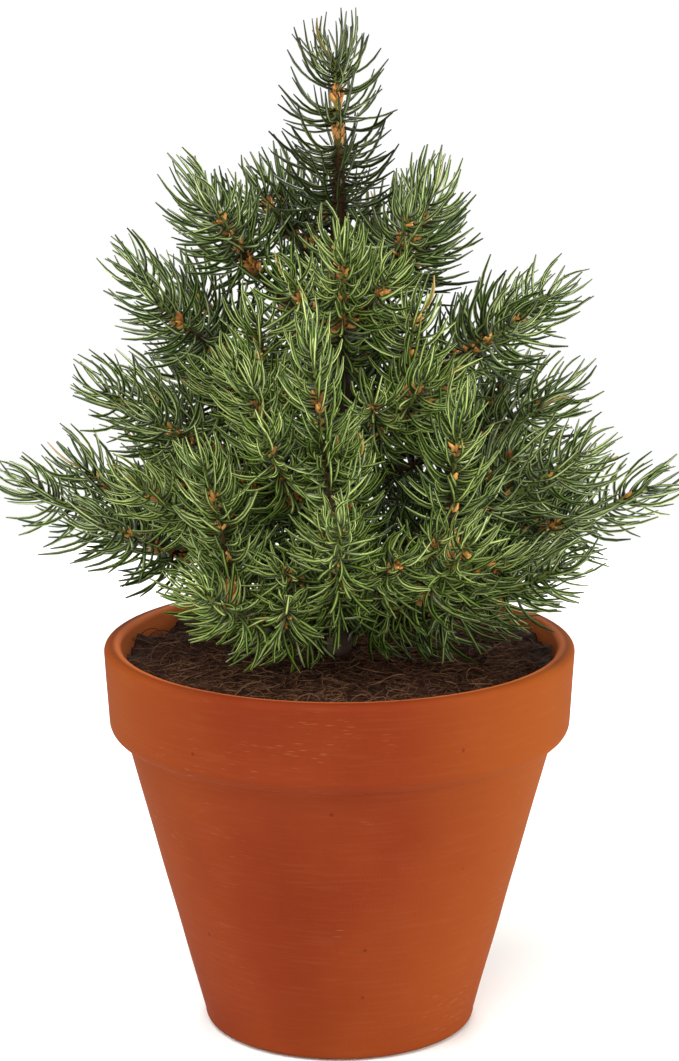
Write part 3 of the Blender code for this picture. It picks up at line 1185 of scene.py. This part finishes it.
@dataclass
class Shoot:
    """A branch or the leader: its stem, its side shoots, their bud scales and their needles."""

    name: str
    body: str
    path: StemPath
    tier: Tier
    slot: str
    seed: int
    needle_length: float = 19.0
    needle_width: float = 1.3
    spacing: float = 0.46
    bare: float = 0.10
    collar: float = 0.055
    tip_allowance: float = 12.0
    root_angle: float = 96.0
    tip_angle: float = 38.0
    finish: str = ""
    collar_places: tuple[float, ...] = (0.50,)
    base_density: float = 0.75
    foot_thickness: float = 1.65
    scale_places: int = 6
    side_scale_places: int = 4
    bed_height: float = 146.6
    bed_margin: float = 2.5
    bed_reach: float = 83.0
    strokes: list[list[tuple[Vector, float]]] = field(default_factory=list)
    leafy: list[list[tuple[Vector, float]]] = field(default_factory=list)
    collars: list[list[tuple[Vector, float]]] = field(default_factory=list)

    def plan(self) -> None:
        """Lays out the strokes of the stem, the stretches with needles, and the collars."""
        length = self.path.length()
        end = 1.0 - self.tip_allowance * MM / length
        self.strokes.append([(self.path.at(end * i / 18), self.thickness(i / 18)) for i in range(19)])
        stop = self.bare
        for place in self.collar_places:
            self.leafy.append(self.stretch(stop, place, end))
            self.collars.append(self.stretch(place, place + self.collar, end))
            stop = place + self.collar
        self.leafy.append(self.stretch(stop, 1.0, end))
        chance = random.Random(self.name)
        # a few scales at a time are left along the stem
        for _ in range(self.scale_places):
            place = chance.uniform(0.2, 0.92)
            self.collars.append(self.stretch(place, place + 0.0006 / length, end))
        for plan in self.tier.value + Tier.extra(self.name):
            self.branch_off(plan, length, chance)

    def stretch(self, start: float, stop: float, end: float) -> list[tuple[Vector, float]]:
        """Returns points along a part of the main stem, each with its growth in place of a radius.

        Args:
            start: The share of the stem at which the part starts.
            stop: The share at which it ends.
            end: The share of the path that the stem takes up.
        """
        shares = [start + (stop - start) * i / 8 for i in range(9)]
        return [(self.path.at(end * s), max(0.0, (s - 0.3) / 0.7)) for s in shares]

    def thickness(self, share: float) -> float:
        """Returns the stem's radius in metres at a share of it."""
        return (0.95 + (self.foot_thickness - 0.95) * (1 - share) ** 1.3) * MM

    def branch_off(self, plan: SidePlan, length: float, chance: random.Random) -> None:
        """Adds one side shoot, which leaves at its angle and curves forwards.

        Args:
            plan: The side shoot's plan.
            length: The main stem's length in metres.
            chance: The branch's own random numbers.
        """
        start = plan.start + chance.uniform(-0.03, 0.03)
        ahead = self.path.heading(start)
        side = ahead.cross(Vector((0, 0, 1)))
        side = (side.normalized() if side.length > 1e-4 else Vector((1, 0, 0))) * plan.side
        up = side.cross(ahead).normalized() * plan.side
        up = up if up.z >= 0 else -up
        lift = math.radians(plan.lift + chance.uniform(-8, 10))
        aside = side * math.cos(lift) + up * math.sin(lift)
        angle = math.radians(plan.angle + chance.uniform(-6, 6))
        reach = length * plan.length * chance.uniform(0.9, 1.1)
        leave = ahead * math.cos(angle) + aside * math.sin(angle)
        later = ahead * math.cos(angle * 0.55) + aside * math.sin(angle * 0.55) + Vector((0, 0, 0.12))
        root = self.path.at(start)
        middle = root + leave * reach * 0.5
        tip = middle + later.normalized() * reach * 0.5
        curve = StemPath(root, middle, tip)
        stroke = [(curve.at(i / 10), (1.15 - 0.45 * i / 10) * MM) for i in range(11)]
        self.strokes.append(stroke)
        self.leafy.append([(curve.at(i / 10), i / 10) for i in range(2, 11)])
        self.collars.append([(curve.at(0.03 + 0.14 * i / 4), 1.0) for i in range(5)])
        for _ in range(self.side_scale_places):
            place = chance.uniform(0.25, 0.9)
            self.collars.append([(curve.at(place), 1.0), (curve.at(place + 0.0006 / reach), 1.0)])

    @staticmethod
    def polyline(name: str, strokes: list[list[tuple[Vector, float]]]) -> Object:
        """Returns a curve object with one poly spline for each stroke, and its radii."""
        curve = bpy.data.curves.new(name, "CURVE")
        curve.dimensions = "3D"
        for stroke in strokes:
            spline = curve.splines.new("POLY")
            spline.points.add(len(stroke) - 1)
            for target, (place, radius) in zip(spline.points, stroke):
                target.co = (*place, 1.0)
                target.radius = radius
        return new_object(name, curve)

    def lay_on_bed(self, piece: Object) -> None:
        """Lifts whatever reaches under the topping, as needles that rest on it bend up."""
        floor = self.bed_height * MM
        margin = self.bed_margin * MM
        for vertex in piece.data.vertices:
            if vertex.co.z < floor + margin and vertex.co.xy.length < self.bed_reach * MM:
                depth = floor + margin - vertex.co.z
                vertex.co.z = floor + margin * math.exp(-depth / margin)

    def build(self, shop: Workshop) -> list[Object]:
        """Builds the stem, scales and needles, and puts them on the branch's body.

        Args:
            shop: The trees and finishes.

        Returns:
            The three pieces.
        """
        self.plan()
        stem = self.polyline(self.name + "_stem_guide", self.strokes)
        grow(stem, shop.skin, {"Step": 0.0014, "Ridge": 0.0011, "Ridge scale": 620.0, "Finish": shop.stem})
        stem = settle(stem, self.name + "_stem")
        scales = self.polyline(self.name + "_scale_guide", self.collars)
        grow(
            scales,
            shop.scales,
            {
                "Spacing": 0.00017,
                "Length": 0.0044,
                "Slenderness": 0.19,
                "Root angle": 0.6,
                "Tip angle": 0.75,
                "Scatter": 0.25,
                "Tip length": 1.0,
                "Base density": 1.0,
                "Seed": self.seed + 500,
                "Finish": shop.scale,
            },
        )
        scales = settle(scales, self.name + "_bud_scales")
        needles = self.polyline(self.name + "_needle_guide", self.leafy)
        grow(
            needles,
            shop.blades,
            {
                "Spacing": self.spacing * MM,
                "Length": self.needle_length * MM,
                "Slenderness": self.needle_width / 2 / self.needle_length,
                "Root angle": math.radians(self.root_angle),
                "Tip angle": math.radians(self.tip_angle),
                "Scatter": math.radians(16),
                "Tip length": 0.8,
                "Base density": self.base_density,
                "Seed": self.seed,
                "Finish": shop.needles[self.finish or self.slot],
            },
        )
        needles = settle(needles, self.name + "_needles")
        shade(needles.data, smooth=False)
        for piece in (stem, scales, needles):
            self.lay_on_bed(piece)
            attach(piece, self.body)
        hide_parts(self.name + "_spray")
        return [stem, scales, needles]


@dataclass
class TrunkNeedles:
    """The short dark needles that stand on the trunk itself between the branches; their dark is painted shade
    inside the tree.
    """

    foot: float = 160.0
    top: float = 298.0
    length: float = 19.0
    width: float = 0.95
    spacing: float = 0.5
    body: str = "potted_trunk"
    slot: str = "needles_dark"

    def build(self, shop: Workshop) -> Object:
        """Sets needles up the trunk on five lines just inside the tape.

        Args:
            shop: The trees and finishes.

        Returns:
            The needles, riding on the root body.
        """
        lines = []
        for i in range(5):
            turn = math.tau * i / 5 + 0.3
            out = Vector((math.cos(turn), math.sin(turn), 0)) * 3.0 * MM
            # a growth of 0.1 keeps their tone deep, as painted shade inside the tree
            lines.append([(out + Vector((0, 0, h * MM)), 0.1) for h in (self.foot + i, self.top)])
        guide = Shoot.polyline("trunk_needle_guide", lines)
        grow(
            guide,
            shop.blades,
            {
                "Spacing": self.spacing * 5 * MM,
                "Length": self.length * MM,
                "Slenderness": self.width / 2 / self.length,
                "Root angle": math.radians(75),
                "Tip angle": math.radians(60),
                "Scatter": math.radians(25),
                "Tip length": 1.0,
                "Base density": 1.0,
                "Seed": 71,
                "Finish": shop.needles[self.slot],
            },
        )
        needles = settle(guide, "trunk_needles")
        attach(needles, self.body)
        return needles


# where the leader and the light front shoots are made differently from the other shoots
LEADER_MAKE = {
    "finish": "leader",
    "tip_allowance": 18.0,
    "tip_angle": 52.0,
    "spacing": 0.21,
    "needle_length": 20.5,
    "needle_width": 1.15,
    "collar_places": (0.53, 0.73),
    "collar": 0.08,
    "foot_thickness": 3.3,
    "root_angle": 101.0,
}
LIGHT_MAKE = {"needle_length": 16.0, "spacing": 0.42}


@dataclass
class TabletopTree:
    """The whole tree above the pot: every shoot that the CAD's joints name."""

    leader: str = "leader"

    def build(self, shop: Workshop) -> int:
        """Builds each branch and the leader.

        Args:
            shop: The trees and finishes.

        Returns:
            The number of faces made.
        """
        slots = {s["node"]: s["material_slot"] for s in frame["record"]["subparts"]}
        total = 0
        for index, joint in enumerate(frame["joints"]):
            name = joint["name"].removesuffix("_bend")
            path = StemPath.from_cad(name, Vector(joint["pos_m"]))
            slot = slots[name + "_spray"]
            own = LEADER_MAKE if name == self.leader else LIGHT_MAKE if slot == "needles_light" else {}
            shoot = Shoot(name, joint["child"], path, Tier.of(name), slot, 17 + index * 3, **own)
            pieces = shoot.build(shop)
            faces = sum(len(p.data.polygons) for p in pieces)
            total += faces
            LOG.info("%s: %d faces", name, faces)
        return total


# ---------------------------------------------------------------- studio


@dataclass
class Studio:
    """The pale floor, the soft lights and the camera."""

    camera_distance: float = 1.1845
    camera_height: float = 0.4686
    camera_pitch: float = 13.161
    lens: float = 109.9
    floor_radius: float = 0.8
    floor_sides: int = 96

    def floor(self) -> None:
        """Lays the pale floor."""
        around = [math.tau * i / self.floor_sides for i in range(self.floor_sides)]
        rim = [(self.floor_radius * math.cos(a), self.floor_radius * math.sin(a), 0.0) for a in around]
        mesh = bpy.data.meshes.new("floor")
        mesh.from_pydata(rim, [], [tuple(range(self.floor_sides))])
        pale = Speckled("floor_matt_white", 0.9, first="F6F6F6", second="F8F8F8", grain=40.0, depth=0.00001)
        mesh.materials.append(pale.make())
        obj = new_object("floor", mesh)
        obj.location.z = -0.0004

    def light(self, name: str, place: Vector, size: float, power: float, tint: str) -> None:
        """Adds one soft area light aimed at the middle of the tree.

        Args:
            name: The light's name.
            place: Where it stands, in metres.
            size: Its side in metres.
            power: Its power in watts.
            tint: Its colour.
        """
        data = bpy.data.lights.new(name, "AREA")
        data.size = size
        data.energy = power
        data.color = linear(tint)[:3]
        lamp = new_object(name, data)
        lamp.location = place
        lamp.rotation_euler = (Vector((0, 0, 0.2)) - place).to_track_quat("-Z", "Y").to_euler()

    def build(self) -> None:
        """Sets up the floor, the world, the lights and the camera."""
        self.floor()
        world = bpy.data.worlds.new("studio_white")
        bpy.context.scene.world = world
        world.use_nodes = True
        tree = world.node_tree
        surround = tree.nodes["Background"]
        surround.inputs["Color"].default_value = (1.0, 1.0, 1.0, 1.0)
        surround.inputs["Strength"].default_value = 0.25
        backdrop = add(tree, "ShaderNodeBackground", {"Color": (1.0, 1.0, 1.0, 1.0), "Strength": 1.0})
        seen = add(tree, "ShaderNodeLightPath").outputs["Is Camera Ray"]
        both = {0: seen, 1: surround.outputs[0], 2: backdrop.outputs[0]}
        shown = add(tree, "ShaderNodeMixShader", both).outputs[0]
        tree.links.new(shown, tree.nodes["World Output"].inputs["Surface"])
        lights = (
            ("top_softbox", (-0.5, -1.2, 2.7), 2.2, 110.0, "FFFFFF"),
            ("right_softbox", (1.5, -0.5, 0.45), 0.8, 30.0, "FFFFF2"),
            ("left_softbox", (-1.5, -0.5, 0.45), 0.8, 18.5, "FFFFF2"),
            ("front_softbox", (0.1, -1.6, 0.6), 0.4, 6.0, "FFFFFF"),
            ("back_softbox", (0.3, 1.9, 1.5), 1.2, 34.0, "FFFFFF"),
        )
        for name, place, size, power, tint in lights:
            self.light(name, Vector(place), size, power, tint)
        data = bpy.data.cameras.new("camera")
        data.lens = self.lens
        data.sensor_width = 36.0
        camera = new_object("camera", data)
        camera.location = (0.0, -self.camera_distance, self.camera_height)
        camera.rotation_euler = (math.radians(90 - self.camera_pitch), 0.0, 0.0)
        bpy.context.scene.camera = camera
        bpy.context.scene.view_settings.view_transform = "Standard"


def dress_hidden_nodes() -> None:
    """Gives the CAD nodes that stay their own finishes: rod, cement, foam and branch wires."""
    rod = Speckled("steel_rod_drawn", 0.32, metallic=1.0, first="A9ABAD", second="B8BABC", grain=900.0)
    cement = Speckled("cement_cast", 0.92, first="8C8A84", second="A5A29B", grain=260.0)
    foam = Speckled("polystyrene_foam_expanded", 0.9, first="D9D6CC", second="E6E3DA", grain=330.0)
    brown = {"first": "4A3A2C", "second": "5C4836"}
    wire = Speckled("iron_wire_annealed_lacquered", 0.5, metallic=1.0, grain=1200.0, **brown)
    finishes = {"trunk_rod": rod.make(), "cement_plug": cement.make(), "foam_block": foam.make()}
    wired = wire.make()
    for name, node in frame["nodes"].items():
        chosen = wired if name.endswith("_wire") else finishes.get(name)
        if chosen:
            node.data.materials.clear()
            node.data.materials.append(chosen)
            LOG.info("%s: finish %s", name, chosen.name)


def main() -> None:
    """Builds the tree piece by piece and reports each one."""
    logging.basicConfig(level=logging.INFO, format="%(message)s")
    pot = ClayPot().build(FiredTerracotta().make())
    LOG.info("pot: %d faces", len(pot.data.polygons))
    for piece in CoirTopping().build(CoirFibre().make(), FibreMat().build()):
        LOG.info("%s: %d faces", piece.name, len(piece.data.polygons))
    sleeve = WrappedTrunk().build(CrepeTape().make())
    LOG.info("sleeve: %d faces", len(sleeve.data.polygons))
    needles = {
        # a darker copy of the needle finish: painted shade for the inner and back branches and the trunk needles
        "needles_dark": MouldedNeedles(
            "polyethylene_needles_dark", shaded_edge="26380C", body="466216", light="C2D088"
        ),
        "needles_mid": MouldedNeedles("polyethylene_needles_mid"),
        "leader": MouldedNeedles(
            "polyethylene_needles_leader", shaded_edge="1C2A0A", body="3E5416", light="B8C682", tip_shade=0.9
        ),
        # a lighter copy of the needle finish: painted light for the front sprays that the light falls on
        "needles_light": MouldedNeedles(
            "polyethylene_needles_light", shaded_edge="3A5410", body="6C9026", light="E6F29C", tip_shade=0.25
        ),
    }
    shop = Workshop(
        blades=RadialGrowth().build(),
        scales=RadialGrowth("scales_round_a_stem", rings=4, curls=((0.25, 0.0), (0.1, 0.05))).build(),
        skin=StemSkin().build(),
        stem=MouldedStem().make(),
        scale=PaintedScales().make(),
        needles={name: finish.make() for name, finish in needles.items()},
    )
    LOG.info("trunk needles: %d faces", len(TrunkNeedles().build(shop).data.polygons))
    LOG.info("shoots: %d faces", TabletopTree().build(shop))
    dress_hidden_nodes()
    Studio().build()


if __name__ == "__main__":
    main()
